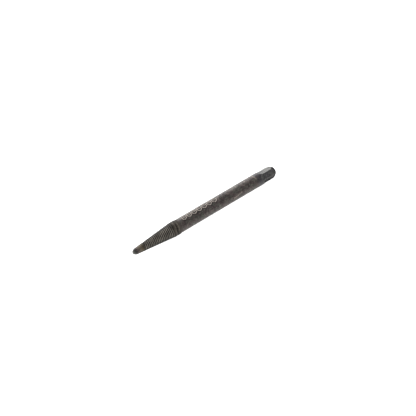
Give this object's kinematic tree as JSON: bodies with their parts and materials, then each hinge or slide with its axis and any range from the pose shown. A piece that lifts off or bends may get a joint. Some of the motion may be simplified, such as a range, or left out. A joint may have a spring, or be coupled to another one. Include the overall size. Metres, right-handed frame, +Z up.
{
  "type": "centre punch",
  "caption": "Hand centre punch: ground conical point, grooved taper, raised shoulder, round shank with a raised row of six-sided cells and a square struck head.",
  "frame": {"origin": "on the surface the punch lies on, below the middle of its length", "axes": "+X along the bar from the point to the struck end, +Z up; the row of raised cells looks 9 degrees behind straight up"},
  "size_m": [0.125, 0.011, 0.011],
  "materials": {
    "ground_point": "ground tool steel, darkened by hardening",
    "tempered_nose": "smooth ground steel with straw, brown and purple temper colours",
    "turned_taper": "turned grooves, oil-blackened",
    "rolled_scale": "rolled and forged skin, brown-black scale, satin",
    "milled_head": "milled flats, blue-black"
  },
  "bodies": {
    "root": {"point": "ground_point", "smooth_nose": "tempered_nose", "grooved_taper": "turned_taper", "shoulder": "turned_taper", "shank": "rolled_scale", "square_head": "milled_head", "struck_end": "milled_head"}
  },
  "joints": []
}
